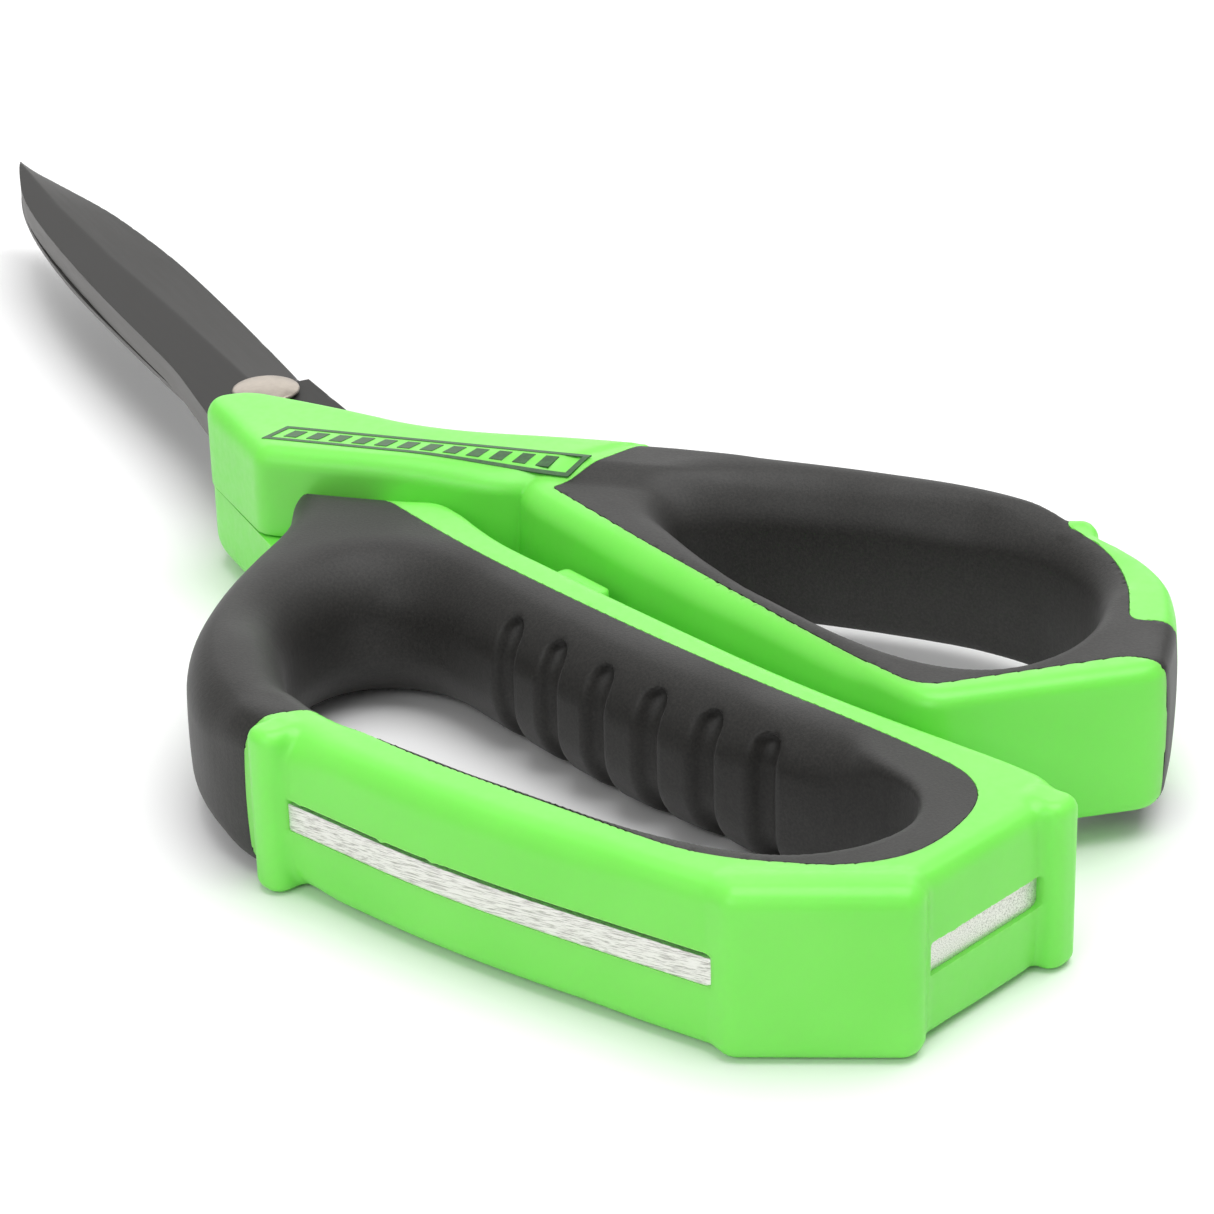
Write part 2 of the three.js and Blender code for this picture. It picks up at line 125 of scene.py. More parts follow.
# ---------- roundings of the bows' edges: x, y, outer edge, inner edge ----------
LOWER_ROUNDS = [
    [-8, -50, 4, 8], [-28, -60, 5, 7.5], [-34, -80, 5.5, 5], [-33, -93, 4, 2], [-28, -105, 3, 1],
    [-19, -125, 3, 0.8], [-7, -141, 2.5, 0.6], [8, -149, 2.2, 0.6], [22, -144, 2, 0.6],
    [24, -132, 1, 1], [17, -118, 1, 6], [10, -104, 1, 7.5], [6, -90, 1, 7.5], [3, -78, 1, 7.5],
    [1, -62, 1.1, 8],
]
UPPER_ROUNDS = [
    [15, -58, 3.6, 5.5], [18, -80, 3.8, 2], [22, -105, 3.4, 1], [27, -121, 2.2, 1], [46, -124, 2.2, 1],
    [57, -119, 2.6, 1.6], [63, -106, 2, 5], [60, -92, 2.2, 5], [52, -80, 2.2, 6], [40, -67, 2, 6.5],
    [32, -60, 1.5, 7],
]
HEEL_BLOCK = {"x": 0.4, "y": -148.2, "along": 20.6, "across": 6, "angle": -0.485, "inset": 0}
LEFT_RIB = {"x": -34.2, "y": -94.2, "along": 4.6, "across": 5.6, "angle": -1.3, "inset": 0.1}
RIGHT_RIB = {"x": 28.2, "y": -144, "along": 4.8, "across": 5.6, "angle": 0.42, "inset": 0.1}
THUMB_RIB = {"x": 61.7, "y": -95, "along": 4.2, "across": 4.4, "angle": -1.45, "inset": 0.4}
CLOSING_STOP = {"x": 9.2, "y": -73.6, "along": 8, "across": 4.6, "angle": -1.33, "inset": 2.5}
# Areas in which the tang's edge is bare, and how deep it lies there.
LEFT_WINDOW = [[-50, -96.8, 0], [-26, -96.8, 0], [-6, -140, 0], [-9.4, -145.2, 0], [-50, -145.2, 0]]
NEAR_WINDOW = [[10, -170, 0], [10, -146, 0], [27, -138, 0], [27, -170, 0]]
THUMB_WINDOW = [[58, -94, 0], [80, -94, 0], [80, -111, 0], [58, -111, 0]]
# The finger grooves: places on the inner wall, the wall's direction there, and the cuts' extent.
FINGER_GROOVES = [[-2.4, -80.3], [-0.6, -87.7], [1.2, -95.3], [3.4, -102.9], [6.3, -110.1], [9.4, -117.3]]
GROOVE_WAY = np.array([0.29, -0.957])
GROOVE_RADIUS = 1.45
GROOVE_TOP, GROOVE_FOOT = 15.2, 2.5
# The thumb bow's top drops by THUMB_DROP on the near side of a line through DROP_PLACE.
THUMB_DROP = 1.3
DROP_PLACE = (15.5, -49.5)
DROP_WAY = (-0.654, -0.757)
DROP_LENGTH = 5.0
DROP_BEHIND, DROP_GROWTH = -42, 14.0
DROP_FLOOR = 15.0  # heights below this keep their place


# ---------- plan distances ----------
def rounded(corners, steps=10):
    """The closed line through corners, with each corner rounded."""
    places = np.array([c[:2] for c in corners], float)
    points = []
    for i, corner in enumerate(corners):
        here, before, after = places[i], places[i - 1], places[(i + 1) % len(places)]
        cut = corner[2] if len(corner) > 2 else math.inf
        if cut == 0:
            points.append(here)
            continue
        start = here + (before - here) * min(0.5, cut / np.linalg.norm(before - here))
        end = here + (after - here) * min(0.5, cut / np.linalg.norm(after - here))
        for t in np.linspace(0, 1, steps + 1):
            points.append((1 - t) ** 2 * start + 2 * t * (1 - t) * here + t * t * end)
    return np.array(points)


def signed_distance(line, x, y):
    """Distance from the points to a closed line, negative inside it."""
    nearest = np.full(np.broadcast(x, y).shape, np.inf)
    inside = np.zeros(nearest.shape, bool)
    for (ax, ay), (bx, by) in zip(line, np.roll(line, -1, axis=0)):
        dx, dy = bx - ax, by - ay
        length = dx * dx + dy * dy
        if length < 1e-12:
            continue
        t = np.clip(((x - ax) * dx + (y - ay) * dy) / length, 0, 1)
        nearest = np.minimum(nearest, (x - ax - t * dx) ** 2 + (y - ay - t * dy) ** 2)
        if dy:
            crosses = (y >= min(ay, by)) & (y < max(ay, by))
            inside ^= crosses & (x < ax + (y - ay) * dx / dy)
    return np.where(inside, -1, 1) * np.sqrt(nearest)


class Plan:
    """The signed distance in plan to an outline, looked up on a fine grid."""

    def __init__(self, corners, margin=12.0):
        line = rounded(corners)
        self.low = line.min(0) - margin
        count = ((line.max(0) + margin - self.low) / PLAN_STEP).astype(int) + 2
        x, y = (self.low[k] + PLAN_STEP * np.arange(count[k]) for k in (0, 1))
        self.grid = signed_distance(line, x[:, None], y[None, :])

    def __call__(self, x, y):
        u = np.clip((x - self.low[0]) / PLAN_STEP, 0, self.grid.shape[0] - 1.001)
        v = np.clip((y - self.low[1]) / PLAN_STEP, 0, self.grid.shape[1] - 1.001)
        i, j = u.astype(int), v.astype(int)
        a, b = u - i, v - j
        g = self.grid
        near = g[i, j] * (1 - a) + g[i + 1, j] * a
        far = g[i, j + 1] * (1 - a) + g[i + 1, j + 1] * a
        return near * (1 - b) + far * b


def mirrored(corners):
    return [[-c[0], *c[1:]] for c in corners]


# ---------- combining fields ----------
def both(a, b, r=0.0):
    """What lies in both solids, with the edge where they meet rounded to radius r."""
    a, b = a + r, b + r
    return np.minimum(np.maximum(a, b), 0) + np.hypot(np.maximum(a, 0), np.maximum(b, 0)) - r


def either(a, b, r=0.0):
    """What lies in one solid or the other, with a fillet of radius r between them."""
    return -both(-a, -b, r)


def layer(z, low, high):
    return np.abs(z - (low + high) / 2) - (high - low) / 2


def stationed(stations, x, y):
    """The stations' outer and inner values at the points, weighted by nearness."""
    total, outer, inner = 0.0, 0.0, 0.0
    for sx, sy, out_value, in_value in stations:
        weight = 1 / ((x - sx) ** 2 + (y - sy) ** 2 + 4) ** 2
        total, outer, inner = total + weight, outer + weight * out_value, inner + weight * in_value
    return outer / total, inner / total


def block(shape, side, x, y, z, rim=1.4, corner=2.0):
    """A raised block with rounded upright edges and rims."""
    c, s = math.cos(shape["angle"]), math.sin(shape["angle"])
    dx, dy = x - shape["x"], y - shape["y"]
    u = np.abs(dx * c + dy * s) - shape["along"] / 2
    v = np.abs(dy * c - dx * s) - shape["across"] / 2
    inset = shape["inset"]
    return both(both(u, v, corner), layer(z, side["low"] + inset, side["high"] - inset), rim)


# ---------- contouring ----------
def crossings(value, axis):
    """Where the field changes sign along an axis: grid places, and the values before and after."""
    before = [slice(None)] * 3
    after = [slice(None)] * 3
    before[axis], after[axis] = slice(None, -1), slice(1, None)
    a, b = value[tuple(before)], value[tuple(after)]
    place = np.argwhere((a < 0) != (b < 0))
    at = tuple(place.T)
    return place, a[at], b[at]


def gradients(field, points, reach=0.02):
    """The field and its unit gradient at the points."""
    x, y, z = points.T
    here = field(x, y, z)
    slopes = [field(x + reach, y, z) - here, field(x, y + reach, z) - here, field(x, y, z + reach) - here]
    slope = np.stack(slopes, 1) / reach
    size = np.linalg.norm(slope, axis=1, keepdims=True)
    return here / np.maximum(size[:, 0], 0.2), slope / np.maximum(size, 1e-6)


def contour(field, low, high, step):
    """Points and quads of the surface where the field is 0, with its edges kept sharp."""
    step = np.broadcast_to(np.array(step, float), 3)
    low = np.array(low, float) - 2 * step
    count = np.ceil((np.array(high) - low) / step).astype(int) + 3
    x, y, z = np.ix_(*(low[k] + step[k] * np.arange(count[k]) for k in range(3)))
    value = np.broadcast_to(field(x, y, z), tuple(count))
    points, cells = [], []
    for axis in range(3):
        place, before, after = crossings(value, axis)
        point = place.astype(float)
        point[:, axis] += before / (before - after)
        points.append(low + point * step)
        u, v = (axis + 1) % 3, (axis + 2) % 3
        ring = []
        for du, dv in ((0, 0), (-1, 0), (-1, -1), (0, -1)):
            cell = place.copy()
            cell[:, u] += du
            cell[:, v] += dv
            ring.append(np.ravel_multi_index(cell.T, tuple(count)))
        ring = np.stack(ring, 1)
        ring[before > 0] = ring[before > 0][:, ::-1]
        cells.append(ring)
    points, cells = np.concatenate(points), np.concatenate(cells)
    off, normal = gradients(field, points)
    points -= off[:, None] * normal
    return fitted(points, normal, cells, low, step, count)


def fitted(points, normal, cells, low, step, count):
    """One vertex for each cell, where the tangent planes at the cell's crossings meet best."""
    kept, quads = np.unique(cells, return_inverse=True)
    quads = quads.reshape(cells.shape)
    where = quads.ravel()
    spread = np.repeat(np.arange(len(points)), 4)

    def total(values):
        return np.bincount(where, values[spread], len(kept))

    number = total(np.ones(len(points)))
    middle = np.stack([total(points[:, k]) for k in range(3)], 1) / number[:, None]
    height = (normal * points).sum(1)
    rows = np.stack([total(normal[:, i] * normal[:, j]) for i in range(3) for j in range(3)], 1)
    rows = rows.reshape(-1, 3, 3)
    right = np.stack([total(normal[:, k] * height) for k in range(3)], 1)
    right -= (rows @ middle[:, :, None])[:, :, 0]
    move = np.linalg.solve(rows + 0.05 * np.eye(3), right[:, :, None])[:, :, 0]
    corner = low + np.stack(np.unravel_index(kept, tuple(count)), 1) * step
    return np.clip(middle + move, corner, corner + step), quads


def piece(name, points, faces, body, slot, replaces=(), sharp=38):
    """A mesh object from points in millimetres from the pivot. It rides on a body."""
    mesh = bpy.data.meshes.new(name)
    mesh.from_pydata((points / 1000 + PIVOT).tolist(), [], [list(map(int, f)) for f in faces])
    mesh.shade_smooth()
    mesh.set_sharp_from_angle(angle=math.radians(sharp))
    made = bpy.data.objects.new(name, mesh)
    bpy.context.scene.collection.objects.link(made)
    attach(made, body)
    if replaces:
        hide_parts(*replaces)
    return made


# ---------- handles ----------
lower_outer, lower_opening = Plan(LOWER_OUTER), Plan(LOWER_OPENING)
lower_grip, lower_head = Plan(LOWER_GRIP), Plan(LOWER_HEAD)
upper_outer, upper_opening = Plan(UPPER_OUTER), Plan(UPPER_OPENING)
upper_grip, upper_head = Plan(UPPER_GRIP), Plan(UPPER_HEAD)
left_window, near_window, thumb_window = Plan(LEFT_WINDOW), Plan(NEAR_WINDOW), Plan(THUMB_WINDOW)


def bow(outer, opening, rounds, side, x, y, z, foot=1.0, bulge=0.5):
    """The ring of a handle. Its walls bulge a little at half height. The opening's lower edge is less round."""
    round_out, round_in = stationed(rounds, x, y)
    lid = layer(z, side["low"], side["high"])
    middle = (side["low"] + side["high"]) / 2
    round_in = round_in * np.where(z < middle, foot, 1.0)
    lean = bulge * ((z - middle) / (side["high"] - middle)) ** 2
    outside = both(outer(x, y) + lean, lid, round_out)
    inside = both(-opening(x, y) + lean, lid, round_in)
    return both(outside, inside, 0.8)


def recess(outer, window, side, depth, lip, x, y, z):
    """The slot in a wall that the tang's bare edge shows in."""
    level = layer(z, side["steel"], side["steel"] + STEEL + lip)
    return both(both(-outer(x, y) - depth, window(x, y)), level, 0.15)


def lower_ring(x, y, z):
    ring = bow(lower_outer, lower_opening, LOWER_ROUNDS, LOWER, x, y, z)
    ring = both(ring, -recess(lower_outer, left_window, LOWER, 2.5, 0.7, x, y, z))
    ring = both(ring, -recess(lower_outer, near_window, LOWER, 2.5, 0.6, x, y, z))
    ring = either(ring, block(HEEL_BLOCK, LOWER, x, y, z, 2.2, 2.5), 0.8)
    for shape in (LEFT_RIB, RIGHT_RIB):
        ring = either(ring, block(shape, LOWER, x, y, z), 0.8)
    return either(ring, block(CLOSING_STOP, LOWER, x, y, z, 0.6, 1.0), 0.4)


def lower_head_block(x, y, z):
    top = SPLIT - SPLIT_GAP / 2
    rim = np.where(z < top / 2, 4.5, 0)
    return both(lower_head(x, y), layer(z, 0, top), rim)


def grooves(ring, x, y, z):
    """The finger grooves: round cuts that follow the inner wall from near its top to near its foot."""
    depth = np.maximum(-ring, -4)
    ends = np.maximum(layer(z, GROOVE_FOOT, GROOVE_TOP), 0)
    cut = np.inf
    for gx, gy in FINGER_GROOVES:
        dx, dy = x - gx, y - gy
        along = dy * GROOVE_WAY[1] + dx * GROOVE_WAY[0]
        outwards = dy * GROOVE_WAY[0] - dx * GROOVE_WAY[1]
        near = np.sqrt(along**2 + (depth - 0.1) ** 2 + ends**2) - GROOVE_RADIUS
        cut = np.minimum(cut, np.maximum(near, np.abs(outwards) - 6))
    return cut


def lower_core(x, y, z):
    ring = both(lower_ring(x, y, z), -lower_grip(x, y) + SEAM)
    return either(ring, lower_head_block(x, y, z), 0.3)


def lower_cover(x, y, z):
    ring = lower_ring(x, y, z)
    cover = both(ring, lower_grip(x, y) + SEAM)
    cover = both(cover, -lower_head_block(x, y, z) + SEAM)
    cover = both(cover, -block(LEFT_RIB, LOWER, x, y, z) + SEAM)
    return both(cover, -grooves(ring, x, y, z), 0.8)


def eased(t):
    t = np.clip(t, 0, 1)
    return t * t * (3 - 2 * t)


def dropped(x, y):
    """How far the thumb bow's top lies below the head's top at the points."""
    off = (x - DROP_PLACE[0]) * DROP_WAY[0] + (y - DROP_PLACE[1]) * DROP_WAY[1]
    return THUMB_DROP * eased(off / DROP_LENGTH) * eased((DROP_BEHIND - y) / DROP_GROWTH)


def raised(x, y, z):
    """The heights as they would be on a bow with a level top."""
    share = (z - DROP_FLOOR) / (UPPER["high"] - THUMB_DROP - DROP_FLOOR)
    return z + dropped(x, y) * np.clip(share, 0, 1)


def upper_ring(x, y, z):
    level = raised(x, y, z)
    ring = bow(upper_outer, upper_opening, UPPER_ROUNDS, UPPER, x, y, level, 0.35)
    ring = both(ring, -recess(upper_outer, thumb_window, UPPER, 2.5, 0.3, x, y, z))
    return either(ring, block(THUMB_RIB, UPPER, x, y, level), 0.8)


def upper_head_block(x, y, z):
    low = SPLIT + SPLIT_GAP / 2
    rim = np.where(z > (low + UPPER["high"]) / 2, 2.4, 0)
    return both(upper_head(x, y), layer(raised(x, y, z), low, UPPER["high"]), rim)


def upper_core(x, y, z):
    ring = both(upper_ring(x, y, z), -upper_grip(x, y) + SEAM)
    return either(ring, upper_head_block(x, y, z), 0.3)


def upper_cover(x, y, z):
    cover = both(upper_ring(x, y, z), upper_grip(x, y) + SEAM)
    return both(cover, -upper_head_block(x, y, z) + SEAM)


# ---------- steel ----------
def blade_field(outline, opening, outer, ring_cover, windows, turned_over, side):
    """A blade with its tang, as a field."""
    plate = Plan(outline)

    def field(x, y, z):
        inside = -opening(x, y) + 1.8
        tang = np.maximum(outer(x, y) + ring_cover, inside)
        for window, depth in windows:
            tang = np.minimum(tang, np.maximum(np.maximum(outer(x, y) + depth, window(x, y)), inside))
        flat = np.minimum(both(plate(x, y), inside), tang)
        low = side["steel"] - (0 if turned_over else BLADE_CLOSING)
        high = side["steel"] + STEEL + (BLADE_CLOSING if turned_over else 0)
        solid = both(flat, layer(z, low, high), 0.12)
        across = -x if turned_over else x
        up = side["steel"] + STEEL - z if turned_over else z - side["steel"]
        ridge = np.interp(y, BEVEL[:, 0], BEVEL[:, 1])
        edge = np.interp(y, BEVEL[:, 0], BEVEL[:, 2])
        slope = (STEEL - EDGE_THICK) / (edge - ridge)
        ground = (up - STEEL + slope * (across - ridge)) / np.sqrt(1 + slope**2)
        solid = both(solid, np.where(y > 2, ground, -5), 0.1)
        return both(solid, 3.2 - np.hypot(x, y), 0.15)

    return field


lower_blade = blade_field(
    mirrored(SPINE + LOWER_NECK + EDGE), lower_opening, lower_outer, 1.9,
    [(left_window, 0.15), (near_window, 0.6)], True, LOWER,
)
upper_blade = blade_field(
    SPINE + UPPER_NECK + EDGE, upper_opening, upper_outer, 1.9, [(thumb_window, 0.5)], False, UPPER
)


def turned(profile, sides=96):
    """Points and faces of a lathed solid whose profile starts and ends on the axis."""
    count = len(profile) - 2
    angles = np.linspace(0, 2 * math.pi, sides, endpoint=False)
    points = [[0, 0, profile[0][1]]]
    for radius, height in profile[1:-1]:
        points += [[radius * math.cos(a), radius * math.sin(a), height] for a in angles]
    points.append([0, 0, profile[-1][1]])
    faces = []
    last = len(points) - 1
    for i in range(sides):
        j = (i + 1) % sides
        faces.append([0, 1 + j, 1 + i])
        for r in range(count - 1):
            a, b = 1 + r * sides, 1 + (r + 1) * sides
            faces.append([a + i, a + j, b + j, b + i])
        top = 1 + (count - 1) * sides
        faces.append([last, top + i, top + j])
    return np.array(points, float), faces


def bolt_profile():
    low = HIGH_STEEL + STEEL + 0.3
    profile = [[0, 2.95], [2.7, 2.95], [3, 3.25], [3, low], [4.0, low], [4.25, low + 0.1], [4.3, low + 0.3]]
    for i in range(1, 12):
        turn = i / 12 * math.pi / 2
        profile.append([4.3 * math.cos(turn), low + 0.3 + 0.7 * math.sin(turn)])
    return profile + [[0, low + 1]]


def nut_field(x, y, z):
    apothem = 5.6 * math.cos(math.pi / 6)
    hexagon = -np.inf
    for i in range(3):
        a = i * math.pi / 3 + math.pi / 6
        hexagon = np.maximum(hexagon, np.abs(x * math.cos(a) + y * math.sin(a)) - apothem)
    radius = np.hypot(x, y)
    cone = (radius - 5.6 + 0.4 + np.abs(z - 4.95) * 0.5 - 0.5) / 1.12
    return both(both(both(hexagon, layer(z, 3.45, 6.45), 0.1), cone, 0.1), 3.3 - radius, 0.2)


def washer_field(x, y, z):
    radius = np.hypot(x, y)
    ring = both(both(radius - 5.4, 3.3 - radius), layer(z, 6.75, 7.55), 0.12)
    slit = both(np.abs(y + (z - 7.15) * 0.5) - 0.3, -x)
    return both(ring, -slit, 0.1)


# ---------- materials ----------
def new_material(name):
    made = bpy.data.materials.new(name)
    made.use_nodes = True
    return made, made.node_tree.nodes, made.node_tree.links


def noise(nodes, links, coordinate, scale, detail=3.0, roughness=0.55):
    made = nodes.new("ShaderNodeTexNoise")
    made.inputs["Scale"].default_value = scale
    made.inputs["Detail"].default_value = detail
    made.inputs["Roughness"].default_value = roughness
    links.new(coordinate, made.inputs["Vector"])
    return made.outputs["Fac"]


def ramp(nodes, links, value, stops):
    made = nodes.new("ShaderNodeValToRGB")
    elements = made.color_ramp.elements
    while len(elements) < len(stops):
        elements.new(0.5)
    for element, (position, colour) in zip(elements, stops):
        element.position = position
        element.color = (*colour, 1) if len(colour) == 3 else colour
    links.new(value, made.inputs["Fac"])
    return made.outputs["Color"]


def grey(value):
    return (value, value, value)


def scaled(nodes, links, coordinate, scale, rotation=(0, 0, 0)):
    made = nodes.new("ShaderNodeMapping")
    made.inputs["Scale"].default_value = scale
    made.inputs["Rotation"].default_value = rotation
    links.new(coordinate, made.inputs["Vector"])
    return made.outputs["Vector"]


def bump(nodes, links, height, distance, strength=1.0, base=None):
    made = nodes.new("ShaderNodeBump")
    made.inputs["Strength"].default_value = strength
    made.inputs["Distance"].default_value = distance
    links.new(height, made.inputs["Height"])
    if base is not None:
        links.new(base, made.inputs["Normal"])
    return made.outputs["Normal"]


def object_coordinate(nodes):
    return nodes.new("ShaderNodeTexCoord").outputs["Object"]


def lime_plastic():
    made, nodes, links = new_material("lime_plastic")
    shader = nodes["Principled BSDF"]
    place = object_coordinate(nodes)
    cloud = noise(nodes, links, place, 45, 2)
    tint = ramp(nodes, links, cloud, [(0.3, (0.185, 0.76, 0.085)), (0.7, (0.215, 0.81, 0.105))])
    links.new(tint, shader.inputs["Base Color"])
    fine = noise(nodes, links, place, 900, 4)
    rough = ramp(nodes, links, fine, [(0.3, grey(0.34)), (0.7, grey(0.46))])
    links.new(rough, shader.inputs["Roughness"])
    links.new(bump(nodes, links, fine, 0.00003, 0.5), shader.inputs["Normal"])
    shader.inputs["IOR"].default_value = 1.49
    shader.inputs["Subsurface Weight"].default_value = 0.35
    shader.inputs["Subsurface Radius"].default_value = (0.35, 1.0, 0.25)
    shader.inputs["Subsurface Scale"].default_value = 0.003
    return made


def soft_grip():
    made, nodes, links = new_material("soft_grip")
    shader = nodes["Principled BSDF"]
    place = object_coordinate(nodes)
    grain = noise(nodes, links, place, 3200, 2, 0.7)
    cloud = noise(nodes, links, place, 60, 3)
    tint = ramp(nodes, links, grain, [(0.35, (0.008, 0.0075, 0.0064)), (0.72, (0.022, 0.0207, 0.018))])
    links.new(tint, shader.inputs["Base Color"])
    rough = ramp(nodes, links, cloud, [(0.3, grey(0.5)), (0.7, grey(0.62))])
    links.new(rough, shader.inputs["Roughness"])
    links.new(bump(nodes, links, grain, 0.00004, 0.6), shader.inputs["Normal"])
    shader.inputs["Sheen Weight"].default_value = 0.06
    shader.inputs["Sheen Roughness"].default_value = 0.5
    return made


def slopes_with_painted_light(nodes, links, tint):
    """The tint with painted light: a little lighter on ground bevels and lightest on the plate's upright edges,
    by how they face, standing in for the white floor's reflection.
    """
    split = nodes.new("ShaderNodeSeparateXYZ")
    links.new(nodes.new("ShaderNodeTexCoord").outputs["Normal"], split.inputs["Vector"])
    steepness = nodes.new("ShaderNodeMath")
    steepness.operation = "ABSOLUTE"
    links.new(split.outputs["Z"], steepness.inputs[0])
    painted_light_share = [(0.1, grey(1.0)), (0.8, grey(0.55)), (0.95, grey(0.14)), (0.995, grey(0.0))]
    mixed = nodes.new("ShaderNodeMix")
    mixed.data_type = "RGBA"
    links.new(ramp(nodes, links, steepness.outputs["Value"], painted_light_share), mixed.inputs["Factor"])
    links.new(tint, mixed.inputs["A"])
    # B is the painted light: the pale grey reflection that the upright sides and bevels show.
    mixed.inputs["B"].default_value = (0.20, 0.196, 0.192, 1)
    return mixed.outputs["Result"]


def coated_steel():
    made, nodes, links = new_material("coated_steel")
    shader = nodes["Principled BSDF"]
    place = object_coordinate(nodes)
    streak = noise(nodes, links, scaled(nodes, links, place, (900, 90, 900)), 1, 3)
    tint = ramp(nodes, links, streak, [(0.3, (0.036, 0.035, 0.034)), (0.7, (0.050, 0.049, 0.047))])
    # The blade's sides and bevels get painted light, lighter the more upright they stand.
    links.new(slopes_with_painted_light(nodes, links, tint), shader.inputs["Base Color"])
    rough = ramp(nodes, links, streak, [(0.3, grey(0.46)), (0.7, grey(0.56))])
    links.new(rough, shader.inputs["Roughness"])
    links.new(bump(nodes, links, streak, 0.00001, 0.5), shader.inputs["Normal"])
    shader.inputs["Metallic"].default_value = 0.03
    shader.inputs["Specular IOR Level"].default_value = 0.06
    return made


def brushed_steel():
    made, nodes, links = new_material("brushed_steel")
    shader = nodes["Principled BSDF"]
    place = object_coordinate(nodes)
    turned_place = scaled(nodes, links, place, (1, 1, 1), (0.12, 0, -0.47))
    grain = noise(nodes, links, scaled(nodes, links, turned_place, (6500, 420, 8500)), 1, 4, 0.65)
    tint = ramp(nodes, links, grain, [(0.36, (0.42, 0.40, 0.385)), (0.52, (0.82, 0.80, 0.78))])
    links.new(tint, shader.inputs["Base Color"])
    links.new(ramp(nodes, links, grain, [(0.3, grey(0.5)), (0.7, grey(0.36))]), shader.inputs["Roughness"])
    links.new(bump(nodes, links, grain, 0.00003, 0.7), shader.inputs["Normal"])
    shader.inputs["Metallic"].default_value = 0.75
    return made


def bolt_steel():
    made, nodes, links = new_material("bolt_steel")
    shader = nodes["Principled BSDF"]
    place = object_coordinate(nodes)
    cloud = noise(nodes, links, place, 700, 4)
    tint = ramp(nodes, links, cloud, [(0.3, (0.34, 0.295, 0.25)), (0.7, (0.45, 0.40, 0.345))])
    links.new(tint, shader.inputs["Base Color"])
    links.new(ramp(nodes, links, cloud, [(0.3, grey(0.34)), (0.7, grey(0.46))]), shader.inputs["Roughness"])
    links.new(bump(nodes, links, cloud, 0.00001, 0.5), shader.inputs["Normal"])
    shader.inputs["Metallic"].default_value = 1.0
    return made


def print_ink():
    made, nodes, links = new_material("print_ink")
    shader = nodes["Principled BSDF"]
    worn = noise(nodes, links, object_coordinate(nodes), 1500, 4)
    tint = ramp(nodes, links, worn, [(0.35, (0.03, 0.09, 0.03)), (0.7, (0.05, 0.15, 0.045))])
    links.new(tint, shader.inputs["Base Color"])
    links.new(ramp(nodes, links, worn, [(0.3, grey(0.4)), (0.7, grey(0.55))]), shader.inputs["Roughness"])
    return made


LIME, SOFT, COATED = lime_plastic(), soft_grip(), coated_steel()
BRUSHED, BOLT, INK = brushed_steel(), bolt_steel(), print_ink()


# ---------- the pieces ----------
def contoured(name, field, low, high, step, body, slot, materials, replaces, sharp=38):
    points, quads = contour(field, low, high, step)
    made = piece(name, points, quads, body, slot, replaces, sharp)
    for material in materials:
        made.data.materials.append(material)
    return made


LOWER_SPAN = ([-39, -157, 0], [33, -9, 19])
UPPER_SPAN = ([-14, -130, 3], [67, -13, 22])
contoured(
    "lower_handle_core_visual", lower_core, *LOWER_SPAN, STEP, "lower_half", "lime_plastic", [LIME],
    ["lower_handle_core"],
)
contoured(
    "lower_handle_grip_visual", lower_cover, *LOWER_SPAN, STEP, "lower_half", "soft_grip", [SOFT],
    ["lower_handle_grip"],
)
contoured(
    "upper_handle_core_visual", upper_core, *UPPER_SPAN, STEP, "upper_half", "lime_plastic", [LIME],
    ["upper_handle_core"],
)
contoured(
    "upper_handle_grip_visual", upper_cover, *UPPER_SPAN, STEP, "upper_half", "soft_grip", [SOFT],
    ["upper_handle_grip"],
)


def bare_behind(made, y):
    """Gives the faces behind y the second material: the tang's edge is bare steel."""
    centres = np.zeros(len(made.data.polygons) * 3)
    made.data.polygons.foreach_get("center", centres)
    bare = centres.reshape(-1, 3)[:, 1] < y / 1000 + PIVOT[1]
    made.data.polygons.foreach_set("material_index", bare.astype(np.int32))


PLATE_STEP = (STEP, STEP, STEP * 0.8)
for name, field, body, low, high in (
    ("lower_blade", lower_blade, "lower_half", [-37, -152, LOW_STEEL], [29, 104.5, SPLIT]),
    ("upper_blade", upper_blade, "upper_half", [-10, -127, SPLIT], [66, 104.5, HIGH_STEEL + STEEL]),
):
    made = contoured(
        name + "_visual", field, low, high, PLATE_STEP, body, "blade_steel", [COATED, BRUSHED], [name]
    )
    bare_behind(made, -60)

bolt = piece("pivot_bolt_visual", *turned(bolt_profile()), "lower_half", "pivot_steel", ["pivot_bolt"])
bolt.data.materials.append(BOLT)
for name, field, low, high in (
    ("pivot_nut", nut_field, [-5.7, -5.7, 3.45], [5.7, 5.7, 6.45]),
    ("spring_washer", washer_field, [-5.5, -5.5, 6.75], [5.5, 5.5, 7.55]),
):
    contoured(name + "_visual", field, low, high, 0.15, "lower_half", "pivot_steel", [BOLT], [name], 30)


# ---------- the printed frame on the upper head ----------
PRINT_PLACE, PRINT_ALONG = np.array([-11.5, -30.5]), np.array([28.3, -25.2])
PRINT_ACROSS = np.array([4.0, 1.9])
PRINT_BARS = 12


def ribbon(u0, u1, v0, v1):
    """A thin closed strip of print between shares u along the frame and v across it."""
    count = max(1, round((u1 - u0) / 0.04))
    points, faces = [], []
    for u in np.linspace(u0, u1, count + 1):
        for v in (v0, v1):
            x, y = PRINT_PLACE + PRINT_ALONG * u + PRINT_ACROSS * v
            top = UPPER["high"] - dropped(x, y)
            points += [[x, y, top - 0.1], [x, y, top + 0.07]]
    for k in range(0, 4 * count, 4):
        for a, b in ((0, 1), (1, 3), (3, 2), (2, 0)):
            faces.append([k + a, k + b, k + 4 + b, k + 4 + a])
    last = 4 * count
    return points, faces + [[0, 2, 3, 1], [last, last + 1, last + 3, last + 2]]


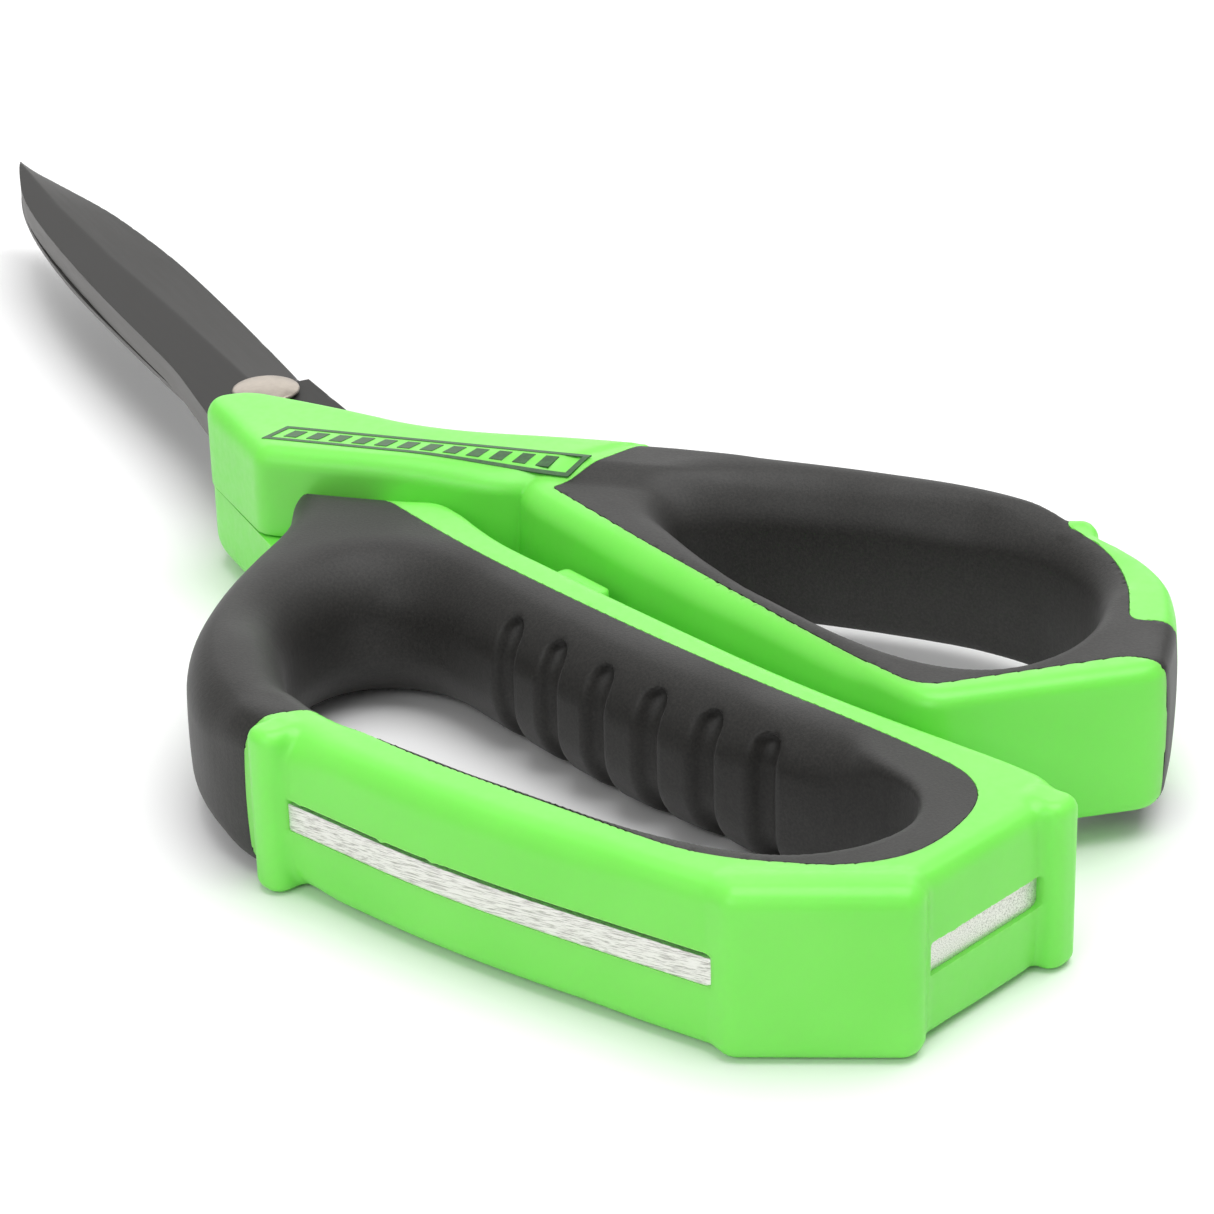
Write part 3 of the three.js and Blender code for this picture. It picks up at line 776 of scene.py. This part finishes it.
def printed_frame():
    """A plain slanted frame with a row of slanted bars in it."""
    strips = [(0, 1, 0, 0.14), (0, 1, 0.86, 1), (0, 0.018, 0.14, 0.86), (0.982, 1, 0.14, 0.86)]
    pitch = 0.9 / PRINT_BARS
    for i in range(PRINT_BARS):
        start = 0.05 + i * pitch
        strips.append((start, start + 0.55 * pitch, 0.27, 0.73))
    points, faces = [], []
    for strip in strips:
        more, sides = ribbon(*strip)
        faces += [[k + len(points) for k in side] for side in sides]
        points += more
    return np.array(points), faces


ink = piece("printed_frame", *printed_frame(), "upper_half", "lime_plastic")
ink.data.materials.append(INK)


# ---------- floor, light, camera ----------
def floor():
    mesh = bpy.data.meshes.new("floor")
    size = 3.0
    mesh.from_pydata([(-size, -size, 0), (size, -size, 0), (size, size, 0), (-size, size, 0)], [], [(0, 1, 2, 3)])
    made = bpy.data.objects.new("floor", mesh)
    bpy.context.scene.collection.objects.link(made)
    material, nodes, links = new_material("floor_white")
    shader = nodes["Principled BSDF"]
    cloud = noise(nodes, links, object_coordinate(nodes), 4, 2)
    links.new(ramp(nodes, links, cloud, [(0.3, grey(0.93)), (0.7, grey(0.95))]), shader.inputs["Base Color"])
    shader.inputs["Roughness"].default_value = 0.7
    mesh.materials.append(material)


def area_light(name, place, target, size, power):
    data = bpy.data.lights.new(name, "AREA")
    data.shape = "RECTANGLE"
    data.size, data.size_y = size
    data.energy = power
    made = bpy.data.objects.new(name, data)
    made.location = place
    made.rotation_euler = (Vector(target) - Vector(place)).to_track_quat("-Z", "Y").to_euler()
    bpy.context.scene.collection.objects.link(made)


def world(strength):
    made = bpy.data.worlds.new("studio")
    made.use_nodes = True
    made.node_tree.nodes["Background"].inputs["Color"].default_value = (1, 1, 1, 1)
    made.node_tree.nodes["Background"].inputs["Strength"].default_value = strength
    bpy.context.scene.world = made


def camera():
    data = bpy.data.cameras.new("camera")
    data.sensor_width = 36.0
    data.lens = 112.7
    data.clip_start, data.clip_end = 0.02, 20.0
    made = bpy.data.objects.new("camera", data)
    place = np.array([-146.6, -423.9, 200.0]) / 1000 + PIVOT
    heading, tilt, roll = (math.radians(v) for v in (24.52, 25.95, 1.576))
    turn = Matrix.Rotation(-heading, 4, "Z") @ Matrix.Rotation(math.pi / 2 - tilt, 4, "X")
    made.matrix_world = Matrix.Translation(Vector(place)) @ turn @ Matrix.Rotation(-roll, 4, "Z")
    bpy.context.scene.collection.objects.link(made)
    bpy.context.scene.camera = made


floor()
world(0.4)
area_light("key", (0.15, -0.1, 1.0), (0, 0, 0), (0.9, 0.9), 9.5)
area_light("left", (-0.95, -0.7, 0.8), (0, 0, 0), (0.8, 0.6), 4.5)
area_light("back", (0.6, 1.3, 0.62), (0, 0, 0), (1.8, 0.8), 7.5)
camera()
bpy.context.scene.view_settings.view_transform = "Standard"
